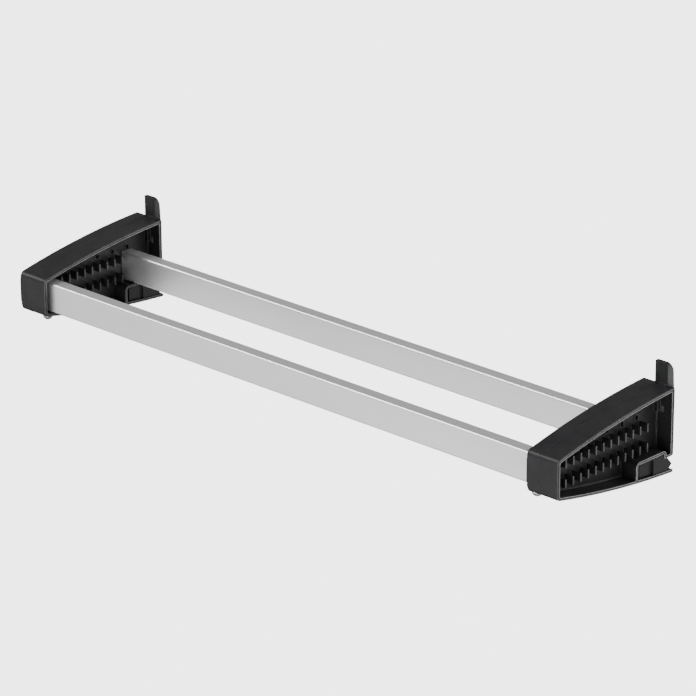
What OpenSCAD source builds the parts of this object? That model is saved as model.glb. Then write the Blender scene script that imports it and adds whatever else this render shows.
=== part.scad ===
// Pull-out trouser rack: two flat rails plugged between a pair of clip-on end brackets.
// X runs along the rails, Y from the front to the back and Z up. The origin is midway between the
// brackets, in the plane of their back faces, at the height of the rails' centre line.
// Each bracket is drawn in its own frame first: x from the seam between its two mouldings,
// y from its front face and z from the rails' centre line.

/* [Rack] */
// Width over both brackets
rack_w = 702; // [400:1:1200]
// Length of a bracket, front to back
bracket_len = 160; // [158:1:200]
// Number of the rib gap, counted from the front, that the rear rail is pushed over
rear_gap_count = 11; // [4:1:11]

/* [Rails] */
// Height of a rail
rail_h = 30; // [26:0.5:32]
// Width of a rail, front to back
rail_w = 14.4; // [13:0.1:15]
// Wall of a rail
rail_wall = 1.2; // [1:0.1:1.6]
// Radius of a rail's long outer edges
rail_edge_r = 2; // [1:0.1:2.4]
// Gap between the rail in the first place and the front wall
rail_front_gap = 4.4; // [2:0.1:8]
// Gap between a rail's end and the web it stops at
rail_end_gap = 0.2; // [0.1:0.1:0.6]

/* [Bracket outline] */
// Height of the front end above the rails' centre line
front_rise = 19.8; // [18.5:0.5:24]
// Depth of the front end below the rails' centre line
front_drop = 18.2; // [16.5:0.1:24]
// Height of the back end above the rails' centre line
back_rise = 42.3; // [36:0.5:50]
// Depth of the back end below the rails' centre line
back_drop = 40.3; // [38:0.1:46]
// Outward bulge of the top edge
top_bulge = 3.5; // [1:0.1:6]
// Outward bulge of the bottom edge
bottom_bulge = 3.2; // [2:0.1:5]
// Radius of the front end's top and bottom edges
front_r = 5; // [4.5:0.1:7]
// Radius of the front end's upright edge on the hook's side
hook_edge_r = 1.5; // [1:0.1:2.6]
// Radius of the front end's upright edge on the other side
cover_edge_r = 1.5; // [1:0.1:2.6]
// Reach of the round on the front end's lower corner, on that side
low_corner = 8; // [6:0.5:12]
// Reach of the round on the front end's upper corner, on that side
high_corner = 7; // [4:0.5:9]
// Thickness of the front wall on that side
cover_front_wall = 6.4; // [6:0.1:6.8]
// Step from one moulding down to the other at their seam
seam_drop = 0.2; // [0.1:0.05:0.4]
// Bevel along the edge round a bracket's open side
rim_bevel = 0.7; // [0.3:0.1:1.2]
// Height and width of the step round the web of the moulding with the hook
web_ledge = 0.8; // [0.4:0.1:1.2]

/* [Bracket walls] */
// Thickness of the flange round a bracket
rim_t = 3.2; // [2.4:0.1:3.6]
// Thickness of the back wall
back_wall = 3.5; // [2.5:0.1:5]
// Width of the moulding that carries the hook and the latch
hook_half_w = 21.4; // [19:0.1:26]
// Width of the other moulding
cover_half_w = 15.4; // [14:0.1:20]
// Web of the moulding with the hook
hook_web = 4; // [3.2:0.1:5]
// Web of the other moulding
cover_web = 2.4; // [2:0.1:3.4]

/* [Ribs] */
// Number of ribs in a row
rib_count = 13; // [13:1:13]
// Thickness of a rib
rib_t = 1.6; // [1.2:0.1:2]
// Height of a rib
rib_h = 8.2; // [6:0.1:10]
// Length of a rib from the web
rib_len = 10; // [6:0.1:11]
// Clearance between the ribs and the inside of a rail
rail_fit = 0.1; // [0.05:0.01:0.2]

/* [Joining screws] */
// Number of screws in a bracket
screw_count = 3; // [1:1:3]
// Rib gaps from one screw to the next
screw_step_count = 2; // [1:1:3]
// Gap between a screw boss and the rail below it
boss_rail_gap = 0.3; // [0.2:0.1:1]
// Diameter of a screw boss
boss_d = 6; // [5.4:0.1:6]
// Height of a boss above the web of the moulding with the hook
boss_h = 0.8; // [0.4:0.1:1.6]
// Length of a boss behind the other web
nut_boss_len = 5; // [3:0.1:7]
// Diameter of a screw's head
screw_head_d = 4.2; // [3.6:0.1:4.4]
// Thickness of a screw's head
screw_head_t = 1.4; // [1:0.1:1.6]
// Diameter of a screw's shank
screw_d = 2.6; // [2:0.1:3]
// Length of a screw's shank
screw_len = 7; // [5:0.1:8]
// Radial clearance round a screw's head
screw_clear = 0.2; // [0.1:0.05:0.3]
// Depth of a screw's head below the top of its boss
screw_sink = 2.2; // [1.4:0.1:2.4]

/* [Hook] */
// Height of the hook above the back end's top edge
hook_h = 22.5; // [14:0.1:30]
// Width of the hook
hook_w = 19.2; // [17:0.1:20]
// Distance of the hook from the open side
hook_side_gap = 0.7; // [0.3:0.1:1.5]
// Thickness of the hook
hook_t = 4; // [3:0.1:5]
// Width of the hook's slanted front edge
hook_slant_w = 5.1; // [3:0.1:7]
// Radius of the hook's top corner
hook_corner_r = 8; // [3:0.1:9]
// Inward lean of the hook's outer edge over its height
hook_lean = 1; // [0:0.1:2]
// Radius of the fillet at the hook's foot
hook_foot_r = 1.3; // [0.5:0.1:1.4]
// Depth of the sunk panel on the hook's front
panel_depth = 0.6; // [0.3:0.1:1]
// Border left round the sunk panel
panel_border = 1.9; // [1:0.1:3]

/* [Back wall block] */
// Depth of the block behind the hook's foot
block_t = 4.2; // [3:0.1:6]
// Height of the block's underside above the rails' centre line
block_z = 17.5; // [16:0.5:26]
// Distance of the block from the open side
block_side_gap = 13; // [12.6:0.1:14]
// Width of the fixing slot
slot_w = 2.4; // [2:0.1:4]
// Height of the fixing slot
slot_h = 6.6; // [5:0.1:10]
// Height of the fixing slot's middle above the rails' centre line
slot_z = 19.1; // [18:0.1:28]
// Distance of the fixing slot from the open side
slot_side_gap = 10.5; // [7:0.1:10.8]

/* [Latch pocket] */
// Length of the pocket's housing, ahead of the back lip
housing_len = 42.5; // [38:0.1:44]
// Length of the back lip
lip_len = 9.5; // [8:0.1:12]
// Gap between a rail and the housing's top
housing_gap = 0.5; // [0.3:0.1:2]
// Wall of the housing
housing_wall = 2.6; // [2:0.1:3.2]
// Radius of the housing's top corners
housing_r = 5; // [3:0.1:7]
// Depth of the back lip's top below the rails' centre line
lip_top = 21; // [18:0.1:21.2]
// Thickness of the back lip
lip_t = 2.3; // [1.6:0.1:2.4]
// Radius of the lip's lower back corner
lip_r = 2.4; // [1:0.1:3]
// Depth of the pocket from the open side
pocket_d = 5; // [4:0.1:6]
// Thickness of the pocket's floor
floor_t = 5.5; // [5.2:0.1:6]

/* [Latch] */
// Length of the latch's toothed block
block_len = 26; // [22:0.1:27]
// Depth of the thumb plate's face below the latch's face
thumb_sink = 2; // [0.6:0.1:2.4]
// Height of the ridge along the thumb plate's top
ridge_h = 1.2; // [0.6:0.1:1.8]
// Travel of the latch
latch_travel = 4; // [3:0.1:6]
// Distance of the latch's tip from the back
latch_back_gap = 1.4; // [1:0.1:3]
// Depth of the latch's face below the open side
latch_sink = 0.3; // [0.2:0.1:1]
// Clearance round the latch
latch_clear = 0.4; // [0.3:0.05:0.5]
// Length of the latch's ramp
ramp_len = 6.3; // [4:0.1:7]
// Depth of the ramp's fall to the upper tooth
ramp_fall = 7.2; // [6:0.1:8]
// Depth of the notch between the teeth
notch_depth = 3.5; // [2:0.1:5]
// Height from the upper tooth down to the notch
notch_h = 3.4; // [2:0.1:4]
// Width of the latch's tongue
tongue_w = 3.6; // [2.6:0.1:5]
// Width of the tongue's foot
foot_w = 7.6; // [6:0.1:9]
// Thickness of the tongue's foot
foot_t = 1.5; // [1.2:0.1:1.6]
// Depth of the tongue's middle below the rails' centre line
tongue_z = 28.4; // [27:0.1:29]

/* [Bumpers] */
// Diameter of a clear bumper
bumper_d = 10; // [8:0.5:11]
// Height of a clear bumper below the bracket
bumper_h = 4.2; // [3:0.1:6]
// Distance of a bumper's middle from the inner side of its bracket
bumper_side_gap = 6.2; // [5.6:0.1:9]
// Distance of a bumper's middle from the front face
bumper_front_gap = 8.6; // [7:0.1:12]

/* [Hidden] */

// Overrun of every cut past the face that it opens
over = 0.5;
// Straight steps along a long edge and round a front corner
edge_steps = 18;
corner_steps = 6;

// The rib pitch lets one rail slip over each pair of neighbouring ribs
rib_pitch = rail_w - 2 * rail_wall - rib_t - 2 * rail_fit;
first_rail_y = rim_t + rail_front_gap + rail_w / 2 + rail_fit;
first_rib_y = first_rail_y - rib_pitch / 2;
rib_top = rail_h / 2 - rail_wall - rail_fit;
rear_rail_y = first_rail_y + rear_gap_count * rib_pitch;

screw_z = rail_h / 2 + boss_rail_gap + boss_d / 2;
housing_top = rail_h / 2 + housing_gap;

bracket_w = hook_half_w + cover_half_w;
right_seam_x = rack_w / 2 - hook_half_w;
left_seam_x = cover_half_w - rack_w / 2;

// Lengths of the slanted chords and radii of the two bowed edges
top_chord = norm([bracket_len, back_rise - front_rise]);
bottom_chord = norm([bracket_len, back_drop - front_drop]);
top_r = (pow(top_chord / 2, 2) + pow(top_bulge, 2)) / (2 * top_bulge);
bottom_r = (pow(bottom_chord / 2, 2) + pow(bottom_bulge, 2)) / (2 * bottom_bulge);

// Centres of the two bowed edges, as [y, z]
top_dir = [bracket_len, back_rise - front_rise] / top_chord;
bottom_dir = [bracket_len, front_drop - back_drop] / bottom_chord;
top_mid = [bracket_len / 2, (front_rise + back_rise) / 2];
bottom_mid = [bracket_len / 2, -(front_drop + back_drop) / 2];
top_centre = top_mid + (top_r - top_bulge) * [top_dir[1], -top_dir[0]];
bottom_centre = bottom_mid + (bottom_r - bottom_bulge) * [-bottom_dir[1], bottom_dir[0]];

// Heights of the two bowed edges at a distance y from the front, moved in by inset
function top_at(y, inset) =
    top_centre[1] + sqrt(pow(top_r - inset, 2) - pow(y - top_centre[0], 2));
function bottom_at(y, inset) =
    bottom_centre[1] - sqrt(pow(bottom_r - inset, 2) - pow(y - bottom_centre[0], 2));

// Centres of the front corners, and the angles at which they run into the bowed edges
corner_top = [front_r, top_at(front_r, front_r)];
corner_bottom = [front_r, bottom_at(front_r, front_r)];
corner_top_angle = atan2(corner_top[1] - top_centre[1], corner_top[0] - top_centre[0]);
corner_bottom_angle = atan2(bottom_centre[1] - corner_bottom[1], corner_bottom[0] - bottom_centre[0]);

function corner_arc(centre, radius, from, to) =
    [for (i = [0:corner_steps]) centre + radius * [
        cos(from + (to - from) * i / corner_steps),
        sin(from + (to - from) * i / corner_steps)
    ]];

// Side view of a bracket, as [y, z], with every edge moved in by inset and the back at back_y
function outline(inset, back_y) =
    let (
        radius = front_r - inset,
        start_y = front_r + radius * cos(corner_top_angle),
        end_y = front_r + radius * cos(corner_bottom_angle)
    )
    concat(
        corner_arc(corner_bottom, radius, 360 - corner_bottom_angle, 180),
        corner_arc(corner_top, radius, 180, corner_top_angle),
        [for (i = [1:edge_steps])
            let (y = start_y + (back_y - start_y) * i / edge_steps) [y, top_at(y, inset)]],
        [for (i = [edge_steps:-1:1])
            let (y = end_y + (back_y - end_y) * i / edge_steps) [y, bottom_at(y, inset)]]
    );

// Stands a side view drawn in y and z upright, from x0 to x1
module slab(x0, x1) {
    translate([x0, 0, 0])
        rotate([90, 0, 90])
            linear_extrude(x1 - x0) children();
}

// A moulding's full shape from the seam to its open side at width, with that side's edge bevelled
module moulding_block(width, inset) {
    hull() {
        slab(0, width - rim_bevel) polygon(outline(inset, bracket_len));
        slab(0, width) polygon(outline(inset + rim_bevel, bracket_len));
    }
}

// A box given by its lowest corner and its highest corner
module block(low, high) {
    translate(low) cube(high - low);
}

// Plan view of a moulding with its outer upright front edge rounded by reach, side is +1 or -1
module plan_limit(width, side, reach) {
    z_room = back_rise + back_drop;
    translate([0, 0, -z_room])
        linear_extrude(2 * z_room + hook_h)
            union() {
                translate([side > 0 ? 0 : -width, reach])
                    square([width, bracket_len - reach]);
                translate([side > 0 ? 0 : reach - width, 0])
                    square([width - reach, bracket_len]);
                translate([side * (width - reach), reach])
                    circle(r = reach, $fn = 48);
            }
}

// Cuts the cover's front corner down to a ball, side is +1 for the lower and -1 for the upper corner
module corner_cut(reach, corner_z, slope, side) {
    translate([-cover_half_w, 0, corner_z])
        rotate([slope, 0, 0])
            difference() {
                translate([-over, -reach / 2, side > 0 ? -reach / 2 : -reach])
                    cube([reach + over, reach * 3 / 2, reach * 3 / 2]);
                translate([reach, reach, side * reach]) sphere(r = reach * sqrt(2), $fn = 96);
            }
}

// Two rows of ribs that stand on a web at x0 and reach to x1
module rib_rows(x0, x1) {
    for (i = [0:rib_count - 1])
        for (side = [0, 1])
            mirror([0, 0, side])
                translate([0, first_rib_y + i * rib_pitch, 0])
                    block([x0, -rib_t / 2, rib_top - rib_h], [x1, rib_t / 2, rib_top]);
}

// Places its child at each joining screw, counted back from the rear rail's place
module at_screws() {
    for (i = [0:screw_count - 1])
        translate([0, first_rail_y + (rear_gap_count - i * screw_step_count) * rib_pitch, screw_z])
            rotate([0, 90, 0]) children();
}

housing_y1 = bracket_len - lip_len;
housing_y0 = housing_y1 - housing_len;
lip_bottom = lip_top + lip_t;

// Side view of the latch housing with its walls moved in by inset
module housing_shape(inset) {
    radius = housing_r - inset;
    y0 = housing_y0 + inset;
    y1 = housing_y1 - inset;
    top = -housing_top - inset;
    union() {
        translate([y0, -back_drop])
            square([y1 - y0, back_drop + top - radius]);
        translate([y0 + radius, -back_drop])
            square([y1 - y0 - 2 * radius, back_drop + top]);
        for (y = [y0 + radius, y1 - radius])
            translate([y, top - radius]) circle(r = radius, $fn = 48);
        translate([y1 - radius, -back_drop])
            square([bracket_len + over - y1 + radius, back_drop - lip_top - (inset > 0 ? lip_t : 0)]);
    }
}

// Side view of the pocket that the latch slides in
module pocket_shape() {
    intersection() {
        housing_shape(housing_wall);
        polygon(outline(rim_t, bracket_len + 2 * over));
    }
    difference() {
        translate([bracket_len - lip_r, -lip_bottom - over])
            square([lip_r + over, lip_r + over]);
        translate([bracket_len - lip_r, lip_r - lip_bottom]) circle(r = lip_r, $fn = 48);
    }
}

// Side view of the open recess beside a web
module recess_shape() {
    polygon(outline(rim_t, bracket_len - back_wall));
}

hook_x0 = hook_half_w - hook_side_gap - hook_w;
hook_x1 = hook_half_w - hook_side_gap;
hook_top = back_rise + hook_h;
hook_y0 = bracket_len - hook_t;

// The hook's front is slanted back at the open side, and its top corner there is round
module hook() {
    foot_z = back_rise - rim_t;
    slant_x = hook_x1 - hook_slant_w;
    corner_x = hook_x1 - hook_lean - hook_corner_r;
    corner_z = hook_top - hook_corner_r;
    lean_angle = atan2(hook_lean, hook_h);
    difference() {
        intersection() {
            translate([0, 0, foot_z])
                linear_extrude(hook_top - foot_z)
                    polygon([
                        [hook_x0, hook_y0],
                        [slant_x, hook_y0],
                        [hook_x1, bracket_len - hook_t * slant_back_share],
                        [hook_x1, bracket_len],
                        [hook_x0, bracket_len]
                    ]);
            translate([0, bracket_len + over, 0])
                rotate([90, 0, 0])
                    linear_extrude(hook_t + 2 * over)
                        union() {
                            polygon([
                                [hook_x0, foot_z],
                                [hook_x1, foot_z],
                                [corner_x, corner_z] + hook_corner_r * [cos(lean_angle), sin(lean_angle)],
                                [corner_x, hook_top],
                                [hook_x0, hook_top]
                            ]);
                            translate([corner_x, corner_z]) circle(r = hook_corner_r, $fn = 48);
                        }
        }
        block(
            [hook_x0 + panel_border, hook_y0 - over, back_rise + panel_border],
            [slant_x, hook_y0 + panel_depth, hook_top - panel_border]
        );
    }
    difference() {
        block(
            [hook_x0 - hook_foot_r, hook_y0, foot_z],
            [hook_x0, bracket_len, back_rise + hook_foot_r]
        );
        translate([hook_x0 - hook_foot_r, hook_y0 - over, back_rise + hook_foot_r])
            rotate([-90, 0, 0])
                cylinder(r = hook_foot_r, h = hook_t + 2 * over, $fn = 32);
    }
}
// Share of the hook's thickness that is left at the end of its slanted front
slant_back_share = 0.1;

floor_x = hook_half_w - pocket_d;
foot_x = floor_x - (floor_t - foot_t) / 2;
tongue_slot_w = tongue_w + latch_clear;
foot_slot_w = foot_w + latch_clear;
foot_slot_t = foot_t + latch_clear;
latch_y1 = bracket_len - latch_back_gap;
latch_y0 = latch_y1 - block_len;
thumb_y0 = housing_y0 + housing_wall + latch_clear + latch_travel;
slot_y0 = latch_y0 - latch_travel - latch_clear;
latch_top = -housing_top - housing_wall - latch_clear;

// The moulding that carries the hook and the latch, with its open side towards +X
module hook_half() {
    difference() {
        union() {
            intersection() {
                difference() {
                    moulding_block(hook_half_w, seam_drop);
                    slab(hook_web, hook_half_w + over)
                        difference() {
                            recess_shape();
                            housing_shape(0);
                        }
                }
                plan_limit(hook_half_w, 1, hook_edge_r);
            }
            slab(hook_web / 2, hook_web + web_ledge)
                difference() {
                    polygon(outline(rim_t / 2, bracket_len - back_wall / 2));
                    polygon(outline(rim_t + web_ledge, bracket_len - back_wall - web_ledge));
                }
            rib_rows(hook_web / 2, hook_web + rib_len);
            at_screws()
                translate([0, 0, hook_web / 2])
                    cylinder(d = boss_d, h = hook_web / 2 + boss_h, $fn = 40);
            intersection() {
                block(
                    [hook_web / 2, bracket_len - back_wall - block_t, block_z],
                    [hook_half_w - block_side_gap, bracket_len - back_wall / 2, back_rise]
                );
                slab(0, hook_half_w) polygon(outline(rim_t / 2, bracket_len));
            }
            hook();
        }
        // Room for the screws
        at_screws()
            translate([0, 0, -over])
                cylinder(d = screw_d, h = hook_web + boss_h + 2 * over, $fn = 32);
        at_screws()
            translate([0, 0, hook_web + boss_h - screw_head_t - screw_sink])
                cylinder(r = screw_head_d / 2 + screw_clear, h = screw_head_t + screw_sink + over, $fn = 40);
        // The fixing slot through the back wall
        translate([hook_half_w - slot_side_gap, 0, slot_z])
            block(
                [-slot_w / 2, bracket_len - back_wall - block_t - over, -slot_h / 2],
                [slot_w / 2, bracket_len + over, slot_h / 2]
            );
        // The pocket, its T-shaped guide and the hollow behind its floor
        slab(floor_x, hook_half_w + over) pocket_shape();
        block(
            [foot_x - over, slot_y0, -tongue_z - tongue_slot_w / 2],
            [floor_x + over, bracket_len + over, -tongue_z + tongue_slot_w / 2]
        );
        block(
            [foot_x - foot_slot_t, slot_y0, -tongue_z - foot_slot_w / 2],
            [foot_x, bracket_len + over, -tongue_z + foot_slot_w / 2]
        );
        slab(-over, floor_x - floor_t)
            intersection() {
                polygon(outline(rim_t, bracket_len - back_wall));
                translate([housing_y0 + housing_wall, -back_drop])
                    square([housing_len - 2 * housing_wall, back_drop - housing_top - housing_wall]);
            }
    }
}

// The other moulding, with its open side towards -X
module cover_half() {
    difference() {
        union() {
            intersection() {
                difference() {
                    mirror([1, 0, 0]) moulding_block(cover_half_w, 0);
                    slab(-cover_half_w - over, -cover_web)
                        intersection() {
                            recess_shape();
                            translate([cover_front_wall, -back_drop])
                                square([bracket_len, back_rise + back_drop]);
                        }
                }
                plan_limit(cover_half_w, -1, cover_edge_r);
            }
            mirror([1, 0, 0]) rib_rows(cover_web / 2, cover_web + rib_len);
            at_screws()
                translate([0, 0, -cover_web - nut_boss_len])
                    cylinder(d = boss_d, h = nut_boss_len + cover_web / 2, $fn = 40);
        }
        corner_cut(low_corner, -front_drop, atan2(bottom_at(front_r, 0) + front_drop, front_r), 1);
        corner_cut(high_corner, front_rise, atan2(top_at(front_r, 0) - front_rise, front_r), -1);
        at_screws()
            translate([0, 0, -screw_reach - over])
                cylinder(d = screw_d, h = screw_reach + 2 * over, $fn = 32);
    }
}
// Depth of a screw's end past the seam
screw_reach = screw_len - (hook_web + boss_h - screw_head_t - screw_sink);

// The screws that hold the two mouldings together, each with a cross in its head
module joining_screws() {
    head_x = hook_web + boss_h - screw_head_t - screw_sink;
    cross_w = screw_head_d * cross_width_share;
    cross_l = screw_head_d * cross_length_share;
    cross_t = screw_head_t * cross_depth_share;
    at_screws()
        difference() {
            union() {
                translate([0, 0, head_x])
                    cylinder(d = screw_head_d, h = screw_head_t, $fn = 40);
                translate([0, 0, head_x - screw_len])
                    cylinder(d = screw_d, h = screw_len + screw_head_t / 2, $fn = 32);
            }
            for (turn = [0, 90])
                rotate([0, 0, turn])
                    translate([-cross_l / 2, -cross_w / 2, head_x + screw_head_t - cross_t])
                        cube([cross_l, cross_w, cross_t + over]);
        }
}
// Shares of a screw head that its cross takes
cross_width_share = 0.18;
cross_length_share = 0.7;
cross_depth_share = 0.5;

// Side view of the latch's block, which steps down under the back lip to a ramp and two teeth
module latch_block_shape() {
    step_y = housing_y1 - housing_wall - latch_clear;
    step_z = -lip_bottom - latch_clear;
    corner = min(housing_r - housing_wall, (latch_top - step_z) / 2);
    tip_z = step_z - ramp_fall;
    polygon([
        [latch_y0, bottom_at(latch_y0 - latch_travel, rim_t + latch_clear)],
        [latch_y1, bottom_at(latch_y1 - latch_travel, rim_t + latch_clear)],
        [latch_y1 - notch_depth, tip_z - notch_h],
        [latch_y1, tip_z],
        [latch_y1 - ramp_len, step_z],
        [step_y, step_z],
        [step_y, latch_top - corner],
        [step_y - corner, latch_top],
        [latch_y0, latch_top]
    ]);
}

// Side view of the thumb plate, which runs a little way into the block
module thumb_shape() {
    y_end = latch_y0 + latch_clear;
    corner = housing_r - housing_wall;
    polygon([
        [thumb_y0, bottom_at(thumb_y0 - latch_travel, rim_t + latch_clear)],
        [y_end, bottom_at(y_end - latch_travel, rim_t + latch_clear)],
        [y_end, latch_top],
        [thumb_y0 + corner, latch_top],
        [thumb_y0, latch_top - corner]
    ]);
}

// Side view of the ridge along the thumb plate's top
module ridge_shape() {
    intersection() {
        thumb_shape();
        translate([thumb_y0, latch_top - ridge_h]) square([latch_y0 + latch_clear - thumb_y0, 2 * ridge_h]);
    }
}

// The latch slides in its pocket and is held by a foot in a T-shaped guide
module latch() {
    foot_y1 = latch_y1 - notch_depth - latch_clear;
    face_x = hook_half_w - latch_sink;
    slab(floor_x + latch_clear / 2, face_x) latch_block_shape();
    slab(floor_x + latch_clear / 2, face_x - thumb_sink) thumb_shape();
    slab(floor_x + latch_clear / 2, face_x - latch_sink) ridge_shape();
    block(
        [foot_x - latch_clear / 2, latch_y0, -tongue_z - tongue_w / 2],
        [floor_x + latch_clear, foot_y1, -tongue_z + tongue_w / 2]
    );
    block(
        [foot_x - latch_clear / 2 - foot_t, latch_y0, -tongue_z - foot_w / 2],
        [foot_x - latch_clear / 2, foot_y1, -tongue_z + foot_w / 2]
    );
}

// A rail with round long edges and a plain inside that slips over the ribs
module rail(y) {
    x0 = left_seam_x + hook_web + rail_end_gap;
    x1 = right_seam_x - cover_web - rail_end_gap;
    corner_y = rail_w / 2 - rail_edge_r;
    corner_z = rail_h / 2 - rail_edge_r;
    slab(x0, x1)
        difference() {
            translate([y, 0])
                union() {
                    square([rail_w, 2 * corner_z], center = true);
                    square([2 * corner_y, rail_h], center = true);
                    for (j = [-corner_y, corner_y])
                        for (k = [-corner_z, corner_z])
                            translate([j, k]) circle(r = rail_edge_r, $fn = 48);
                }
            translate([y, 0])
                square([rail_w - 2 * rail_wall, rail_h - 2 * rail_wall], center = true);
        }
}

// A domed bumper stuck under the front end, x is its place from the seam
module bumper(x) {
    base_z = bottom_at(bumper_front_gap, 0);
    radius = bumper_d / 2;
    dome_r = (radius * radius + bumper_h * bumper_h) / (2 * bumper_h);
    dome_angle = asin(radius / dome_r);
    slope = atan2(
        bottom_at(bumper_front_gap + radius, 0) - bottom_at(bumper_front_gap - radius, 0),
        bumper_d
    );
    difference() {
        translate([x, bumper_front_gap, base_z])
            rotate([slope, 0, 0])
                rotate_extrude($fn = 64)
                    polygon(concat(
                        [for (i = [0:corner_steps]) [
                            dome_r * sin(dome_angle * i / corner_steps),
                            dome_r - bumper_h - dome_r * cos(dome_angle * i / corner_steps)
                        ]],
                        [[radius, front_r / 2], [0, front_r / 2]]
                    ));
        slab(-cover_half_w, 0) polygon(outline(0, bracket_len));
        slab(0, hook_half_w) polygon(outline(seam_drop, bracket_len));
    }
}

// Moves what is drawn in the bracket frame to its place, at the seam given
module place(seam_x) {
    translate([seam_x, -bracket_len, 0]) children();
}

color("silver") place(0) rail(first_rail_y);  // front_rail
color("silver") place(0) rail(rear_rail_y);  // rear_rail
color("dimgray") place(right_seam_x) hook_half();  // right_bracket_hook_half
color("dimgray") place(right_seam_x) cover_half();  // right_bracket_cover_half
color("black") place(right_seam_x) joining_screws();  // right_joining_screws
color("dimgray") place(right_seam_x) latch();  // right_latch
color("white") place(right_seam_x) bumper(bumper_side_gap - cover_half_w);  // right_bumper
color("dimgray") place(left_seam_x) hook_half();  // left_bracket_hook_half
color("dimgray") place(left_seam_x) cover_half();  // left_bracket_cover_half
color("black") place(left_seam_x) joining_screws();  // left_joining_screws
color("dimgray") place(left_seam_x) latch();  // left_latch
color("white") place(left_seam_x) bumper(hook_half_w - bumper_side_gap);  // left_bumper
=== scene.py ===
import math

import bpy
from mathutils import Matrix, Vector

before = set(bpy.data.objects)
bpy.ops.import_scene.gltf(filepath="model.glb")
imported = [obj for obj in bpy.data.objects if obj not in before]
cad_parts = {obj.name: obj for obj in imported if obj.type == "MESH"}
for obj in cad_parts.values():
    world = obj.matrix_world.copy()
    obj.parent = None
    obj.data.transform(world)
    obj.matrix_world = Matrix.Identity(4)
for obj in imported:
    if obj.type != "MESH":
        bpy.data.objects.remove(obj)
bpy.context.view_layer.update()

IMAGE_W = 696
# Camera fitted to the rack's outlines: place in metres, angles in degrees, focal length in pixels
EYE = Vector((2.2756, -2.4288, 1.2867))
YAW, PITCH, ROLL = 43.808, 21.329, -0.332
FOCAL_PX = 3717.7
SENSOR_MM = 36.0
CLIP_END = 50

# Lengths in metres
BEVEL_SAMPLES = 6
# reach of the edge mask for the painted highlight on narrow faces
HIGHLIGHT_EDGE_RADIUS = 0.0016
SEAM_EDGE_R, OPEN_EDGE_R, PLAIN_EDGE_R = 0.0002, 0.0008, 0.0006
PLASTIC_GRAIN = (0.35, 0.00006)  # strength and depth of the bump
RAIL_GRAIN = (0.10, 0.00003)
RAIL_EDGE_R = 0.0003

# Stops of the ramps: place and level, or place and colour
RAIL_SHADES = [(0.3, (0.60, 0.601, 0.604)), (0.7, (0.65, 0.651, 0.654))]
RAIL_ROUGHNESS = [(0.25, 0.35), (0.75, 0.43)]
RAIL_METALLIC = 0.76
BUMPER_ROUGHNESS = [(0.3, 0.06), (0.7, 0.14)]
# Painted highlight on narrow faces towards +X: stops on edges, on facing towards +X, and on depth
# from the seam to the open side
HIGHLIGHT_ON_EDGES = [(0.86, 1.0), (0.995, 0.0)]
HIGHLIGHT_FACING_OUT = [(0.6, 0.0), (0.9, 1.0)]
HIGHLIGHT_BY_DEPTH = [(0.02, 0.3), (0.04, 0.16), (0.3, 0.16), (0.6, 0.3), (0.7, 0.3), (0.95, 1.0)]
# share of the painted highlight that stays at the bottom of the painted shade
LOWEST_FADE = 0.2


def far_x(node):
    return max(vertex.co.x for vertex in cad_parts[node].data.vertices)


def new_material(name):
    mat = bpy.data.materials.new(name)
    mat.use_nodes = True
    tree = mat.node_tree
    return mat, tree.nodes, tree.links, tree.nodes["Principled BSDF"]


def noise(nodes, links, coords, scale, detail=3.0, stretch=(1, 1, 1)):
    mapping = nodes.new("ShaderNodeMapping")
    mapping.inputs["Scale"].default_value = stretch
    links.new(coords, mapping.inputs["Vector"])
    tex = nodes.new("ShaderNodeTexNoise")
    tex.inputs["Scale"].default_value = scale
    tex.inputs["Detail"].default_value = detail
    links.new(mapping.outputs["Vector"], tex.inputs["Vector"])
    return tex.outputs["Fac"]


def ramp(nodes, links, factor, stops):
    node = nodes.new("ShaderNodeValToRGB")
    band = node.color_ramp
    while len(band.elements) < len(stops):
        band.elements.new(0.5)
    for element, (place, level) in zip(band.elements, stops):
        element.position = place
        element.color = (*level, 1) if isinstance(level, tuple) else (level, level, level, 1)
    links.new(factor, node.inputs["Fac"])
    return node.outputs["Color"]


def soft_edges(nodes, links, bsdf, height, strength, distance, radius):
    bevel = nodes.new("ShaderNodeBevel")
    bevel.samples = BEVEL_SAMPLES
    if isinstance(radius, bpy.types.NodeSocket):
        links.new(radius, bevel.inputs["Radius"])
    else:
        bevel.inputs["Radius"].default_value = radius
    bump = nodes.new("ShaderNodeBump")
    bump.inputs["Strength"].default_value = strength
    bump.inputs["Distance"].default_value = distance
    links.new(bevel.outputs["Normal"], bump.inputs["Normal"])
    links.new(height, bump.inputs["Height"])
    links.new(bump.outputs["Normal"], bsdf.inputs["Normal"])


def edge_mask(nodes, links, radius):
    bevel = nodes.new("ShaderNodeBevel")
    bevel.samples = BEVEL_SAMPLES
    bevel.inputs["Radius"].default_value = radius
    geometry = nodes.new("ShaderNodeNewGeometry")
    dot = nodes.new("ShaderNodeVectorMath")
    dot.operation = "DOT_PRODUCT"
    links.new(bevel.outputs["Normal"], dot.inputs[0])
    links.new(geometry.outputs["Normal"], dot.inputs[1])
    return dot.outputs["Value"]


def mix(nodes, links, factor, first, second):
    node = nodes.new("ShaderNodeMix")
    node.data_type = "RGBA"
    links.new(factor, node.inputs["Factor"])
    links.new(first, node.inputs["A"])
    links.new(second, node.inputs["B"])
    return node.outputs["Result"]


def multiply(nodes, links, first, second):
    node = nodes.new("ShaderNodeMath")
    node.operation = "MULTIPLY"
    links.new(first, node.inputs[0])
    links.new(second, node.inputs[1])
    return node.outputs["Value"]


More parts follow.
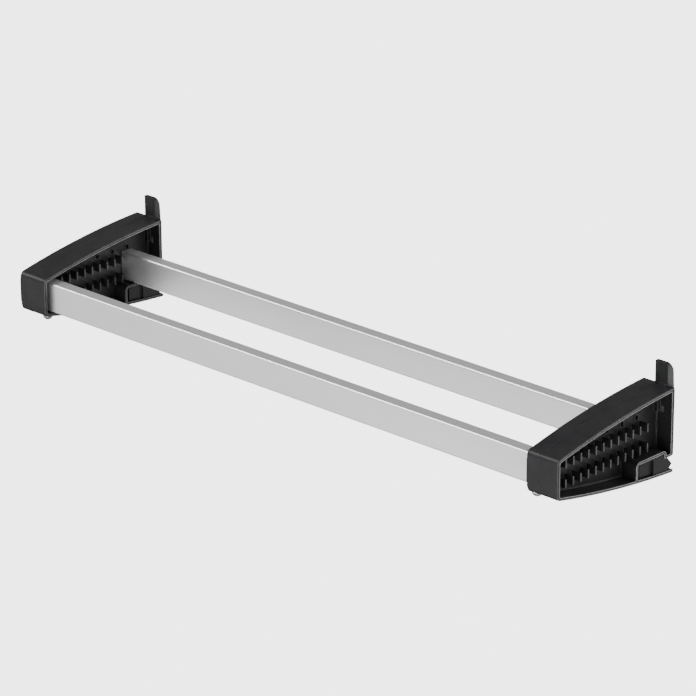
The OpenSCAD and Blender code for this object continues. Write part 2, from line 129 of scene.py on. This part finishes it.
def anodised():
    mat, nodes, links, bsdf = new_material("anodised_aluminium")
    coords = nodes.new("ShaderNodeTexCoord").outputs["Object"]
    lines = noise(nodes, links, coords, 1400, 4, (0.003, 1, 1))
    cloud = noise(nodes, links, coords, 28, 2, (0.15, 1, 1))
    links.new(ramp(nodes, links, cloud, RAIL_SHADES), bsdf.inputs["Base Color"])
    links.new(ramp(nodes, links, lines, RAIL_ROUGHNESS), bsdf.inputs["Roughness"])
    bsdf.inputs["Metallic"].default_value = RAIL_METALLIC
    soft_edges(nodes, links, bsdf, lines, *RAIL_GRAIN, RAIL_EDGE_R)
    return mat


def between(nodes, links, coords, span, low, high, axis="X"):
    """Rises from low to high where the axis goes from one end of span to the other."""
    place = nodes.new("ShaderNodeSeparateXYZ")
    links.new(coords, place.inputs["Vector"])
    depth = nodes.new("ShaderNodeMapRange")
    depth.inputs["From Min"].default_value, depth.inputs["From Max"].default_value = span
    depth.inputs["To Min"].default_value = low
    depth.inputs["To Max"].default_value = high
    links.new(place.outputs[axis], depth.inputs["Value"])
    return depth.outputs["Result"]


def painted_highlight_mask(nodes, links, coords, span):
    """Painted highlight on narrow faces towards +X: strong on the rim, weaker on the ribs' ends
    and at the seam.
    """
    edge = ramp(nodes, links, edge_mask(nodes, links, HIGHLIGHT_EDGE_RADIUS), HIGHLIGHT_ON_EDGES)
    facing = nodes.new("ShaderNodeSeparateXYZ")
    links.new(nodes.new("ShaderNodeNewGeometry").outputs["Normal"], facing.inputs["Vector"])
    towards_open = ramp(nodes, links, facing.outputs["X"], HIGHLIGHT_FACING_OUT)
    weight = ramp(nodes, links, between(nodes, links, coords, span, 0, 1), HIGHLIGHT_BY_DEPTH)
    return multiply(nodes, links, multiply(nodes, links, edge, towards_open), weight)


def moulded(name, dark, light, rough, grain, specular, painted_highlight=None, span=None, fade=None):
    """Textured black plastic.

    painted_highlight: two pale shades painted as highlight on its narrow faces towards +X. span:
    the X of the seam and of the open side.
    fade: the heights between which the painted highlight rises from LOWEST_FADE to its full share,
    so painted shade lies lower down.
    """
    mat, nodes, links, bsdf = new_material(name)
    coords = nodes.new("ShaderNodeTexCoord").outputs["Object"]
    fine = noise(nodes, links, coords, grain, 2)
    cloud = noise(nodes, links, coords, 60, 3)
    body = ramp(nodes, links, cloud, [(0.3, dark), (0.7, light)])
    # painted highlight: pale shades mixed into the body on narrow faces towards +X
    if painted_highlight:
        pale = ramp(nodes, links, cloud, [(0.3, painted_highlight[0]), (0.7, painted_highlight[1])])
        mask = painted_highlight_mask(nodes, links, coords, span)
        # painted shade: the painted highlight is cut back below the fade heights
        if fade:
            share = between(nodes, links, coords, fade, LOWEST_FADE, 1, "Z")
            mask = multiply(nodes, links, mask, share)
        body = mix(nodes, links, mask, body, pale)
    links.new(body, bsdf.inputs["Base Color"])
    links.new(ramp(nodes, links, fine, [(0.3, rough - 0.06), (0.7, rough + 0.06)]),
              bsdf.inputs["Roughness"])
    bsdf.inputs["IOR"].default_value = 1.42
    bsdf.inputs["Specular IOR Level"].default_value = specular
    radius = PLAIN_EDGE_R
    if span:
        radius = between(nodes, links, coords, span, SEAM_EDGE_R, OPEN_EDGE_R)
    soft_edges(nodes, links, bsdf, fine, *PLASTIC_GRAIN, radius)
    return mat


def clear_bumper():
    mat, nodes, links, bsdf = new_material("clear_soft_plastic")
    coords = nodes.new("ShaderNodeTexCoord").outputs["Object"]
    haze = noise(nodes, links, coords, 300, 2)
    links.new(ramp(nodes, links, haze, BUMPER_ROUGHNESS), bsdf.inputs["Roughness"])
    bsdf.inputs["Base Color"].default_value = (0.93, 0.95, 0.95, 1)
    bsdf.inputs["Transmission Weight"].default_value = 0.9
    bsdf.inputs["IOR"].default_value = 1.46
    return mat


# Pairs of shades, dark and light
BODY = ((0.012, 0.0121, 0.0130), (0.017, 0.0171, 0.0183))
# pale pair painted as highlight on the rims, the ribs' ends and the seam, where light catches them
RIM_HIGHLIGHT_SHADES = ((0.30, 0.30, 0.306), (0.42, 0.42, 0.427))
LATCH = ((0.005, 0.0051, 0.0053), (0.008, 0.0081, 0.0083))
SCREW = ((0.006, 0.006, 0.006), (0.010, 0.010, 0.0105))
LEFT_SHADE_HEIGHTS = (-0.008, 0.018)  # painted shade: on the left bracket the painted highlight is cut back below these heights

aluminium = anodised()
black = {}
for side in ("right", "left"):
    span = (far_x(side + "_bracket_cover_half"), far_x(side + "_bracket_hook_half"))
    # each bracket's plastic carries the painted highlight on its narrow faces towards +X
    black[side] = moulded("black_plastic_" + side, *BODY, 0.40, 2600, 0.20, RIM_HIGHLIGHT_SHADES, span,
                          LEFT_SHADE_HEIGHTS if side == "left" else None)
latch_black = moulded("latch_plastic", *LATCH, 0.46, 3200, 0.17)
screw_black = moulded("blackened_screw", *SCREW, 0.35, 1800, 0.5)
bumper = clear_bumper()


def finish_of(node):
    if "half" in node:
        return black[node.split("_")[0]]
    choices = {"rail": aluminium, "latch": latch_black, "screws": screw_black, "bumper": bumper}
    return next(mat for key, mat in choices.items() if key in node)


for node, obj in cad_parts.items():
    if not obj.material_slots:
        raise SystemExit("no slot on " + node)
    for slot in obj.material_slots:
        slot.material = finish_of(node)

# Floor, light and surroundings
FLOOR_Z = -0.55
FLOOR_SIZE = 30
FLOOR_SHADE = (0.95, 0.95, 0.95, 1)
FLOOR_ROUGHNESS = 0.9
FLOOR_GLOW = 2.6
bpy.ops.mesh.primitive_plane_add(size=FLOOR_SIZE, location=(0, 0, FLOOR_Z))
floor = bpy.context.object
floor.name = "floor"
pale, nodes, links, bsdf = new_material("pale_floor")
bsdf.inputs["Base Color"].default_value = FLOOR_SHADE
bsdf.inputs["Roughness"].default_value = FLOOR_ROUGHNESS
bsdf.inputs["Emission Color"].default_value = (1, 1, 1, 1)
bsdf.inputs["Emission Strength"].default_value = FLOOR_GLOW
floor.data.materials.append(pale)
floor.visible_diffuse = False
floor.visible_glossy = False

# Soft boxes painted into the surroundings: direction, cosine at the rim, cosine at the core, level
AMBIENT = 0.3
SOFT_BOXES = [
    ((0.646, 0.672, -0.363), 0.60, 0.95, 1.6),
    ((-0.10, -0.92, -0.37), 0.60, 0.98, 2.7),
    ((-0.646, -0.363, 0.672), 0.93, 0.985, 13.0),
    ((0.95, -0.30, 0.10), 0.60, 0.95, 1.2),
    ((0.49, -0.76, -0.43), 0.90, 0.98, 11.0),
    ((0.36, 0.68, 0.637), 0.90, 0.98, 5.0),
]
world = bpy.data.worlds.new("studio")
bpy.context.scene.world = world
world.use_nodes = True
sky, sky_links = world.node_tree.nodes, world.node_tree.links
direction = sky.new("ShaderNodeTexCoord").outputs["Generated"]
total = None
for aim, rim, core, level in SOFT_BOXES:
    dot = sky.new("ShaderNodeVectorMath")
    dot.operation = "DOT_PRODUCT"
    dot.inputs[1].default_value = Vector(aim).normalized()
    sky_links.new(direction, dot.inputs[0])
    fall = sky.new("ShaderNodeMapRange")
    fall.interpolation_type = "SMOOTHSTEP"
    fall.inputs["From Min"].default_value = rim
    fall.inputs["From Max"].default_value = core
    fall.inputs["To Min"].default_value = 0 if total else AMBIENT
    fall.inputs["To Max"].default_value = level if total else AMBIENT + level
    sky_links.new(dot.outputs["Value"], fall.inputs["Value"])
    if total:
        add = sky.new("ShaderNodeMath")
        sky_links.new(total, add.inputs[0])
        sky_links.new(fall.outputs["Result"], add.inputs[1])
        total = add.outputs["Value"]
    else:
        total = fall.outputs["Result"]
sky_links.new(total, sky["Background"].inputs["Strength"])
sky["Background"].inputs["Color"].default_value = (1, 1, 1, 1)

# Camera
yaw, pitch, roll = (math.radians(a) for a in (YAW, PITCH, ROLL))
forward = Vector((-math.sin(yaw) * math.cos(pitch), math.cos(yaw) * math.cos(pitch),
                  -math.sin(pitch)))
right0 = forward.cross(Vector((0, 0, 1))).normalized()
up0 = right0.cross(forward)
right = math.cos(roll) * right0 + math.sin(roll) * up0
up = -math.sin(roll) * right0 + math.cos(roll) * up0
camera_data = bpy.data.cameras.new("camera")
camera_data.sensor_fit = "HORIZONTAL"
camera_data.sensor_width = SENSOR_MM
camera_data.lens = FOCAL_PX / IMAGE_W * SENSOR_MM
camera_data.clip_end = CLIP_END
camera = bpy.data.objects.new("camera", camera_data)
bpy.context.collection.objects.link(camera)
turn = Matrix((right, up, -forward)).transposed().to_4x4()
camera.matrix_world = Matrix.Translation(EYE) @ turn
bpy.context.scene.camera = camera
